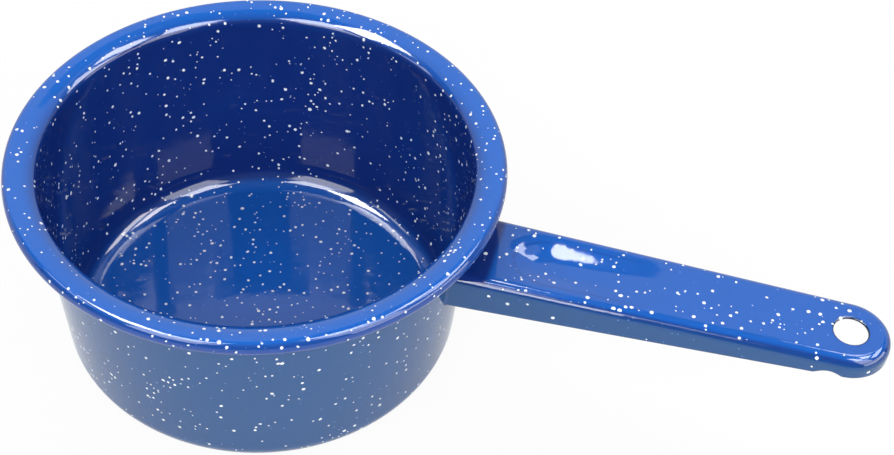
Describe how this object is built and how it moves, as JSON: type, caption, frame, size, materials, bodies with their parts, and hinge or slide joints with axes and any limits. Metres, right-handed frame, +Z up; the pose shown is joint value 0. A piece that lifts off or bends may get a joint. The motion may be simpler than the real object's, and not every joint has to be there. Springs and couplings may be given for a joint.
{
  "type": "saucepan",
  "caption": "Round enamelled steel saucepan with a flat rolled rim, tapered wall, flat base and a pressed channel handle with a thumb rest and hang hole, for heating liquids.",
  "frame": {"origin": "centre of the base's underside, on the surface that the pan stands on", "axes": "+Z up along the bowl's axis, +X along the handle from the bowl to the tip"},
  "size_m": [0.2957, 0.165, 0.078],
  "materials": {
    "bowl_enamel": "glossy vitreous enamel on steel, mid blue with small white specks",
    "handle_enamel": "glossy vitreous enamel on steel, mid blue with small white specks"
  },
  "bodies": {
    "root": {"pan_body": "bowl_enamel", "handle": "handle_enamel", "weld_nugget_1": "handle_enamel", "weld_nugget_2": "handle_enamel", "weld_nugget_3": "handle_enamel"}
  },
  "joints": []
}
